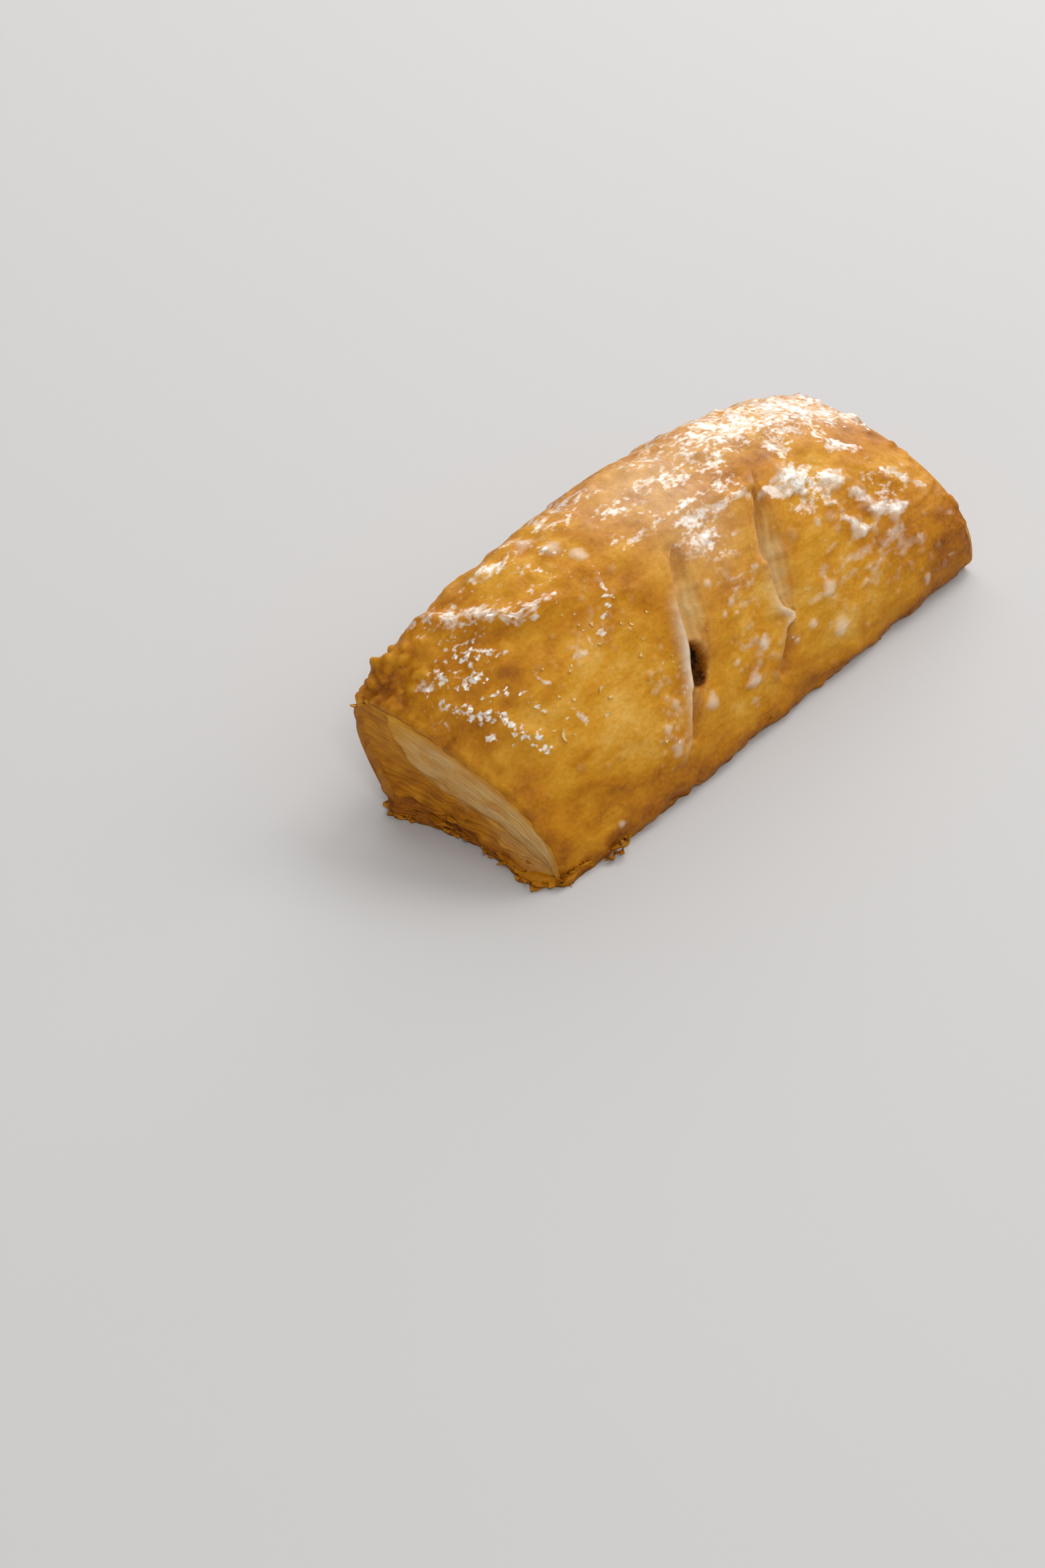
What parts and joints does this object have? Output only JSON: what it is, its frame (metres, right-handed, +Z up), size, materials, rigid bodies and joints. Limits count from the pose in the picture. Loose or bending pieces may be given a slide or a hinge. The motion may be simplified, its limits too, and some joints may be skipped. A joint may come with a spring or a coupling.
{
  "type": "guava pastry",
  "caption": "Glazed puff pastry bar with a domed golden crust, two slanted vent slits and open flaky layers at one end.",
  "frame": {"origin": "middle of the bounding box, on the surface that the base rests on", "axes": "+X along the bar from its open, layered near end to its far end, -Y towards the long slope with the two slits, +Z up"},
  "size_m": [0.1278, 0.0489, 0.0402],
  "materials": {
    "baked_crust": "egg-washed and glazed crust, satin to glossy",
    "flaky_layers": "pale laminated dough, matte"
  },
  "bodies": {
    "root": {"pastry": "baked_crust"}
  },
  "joints": []
}
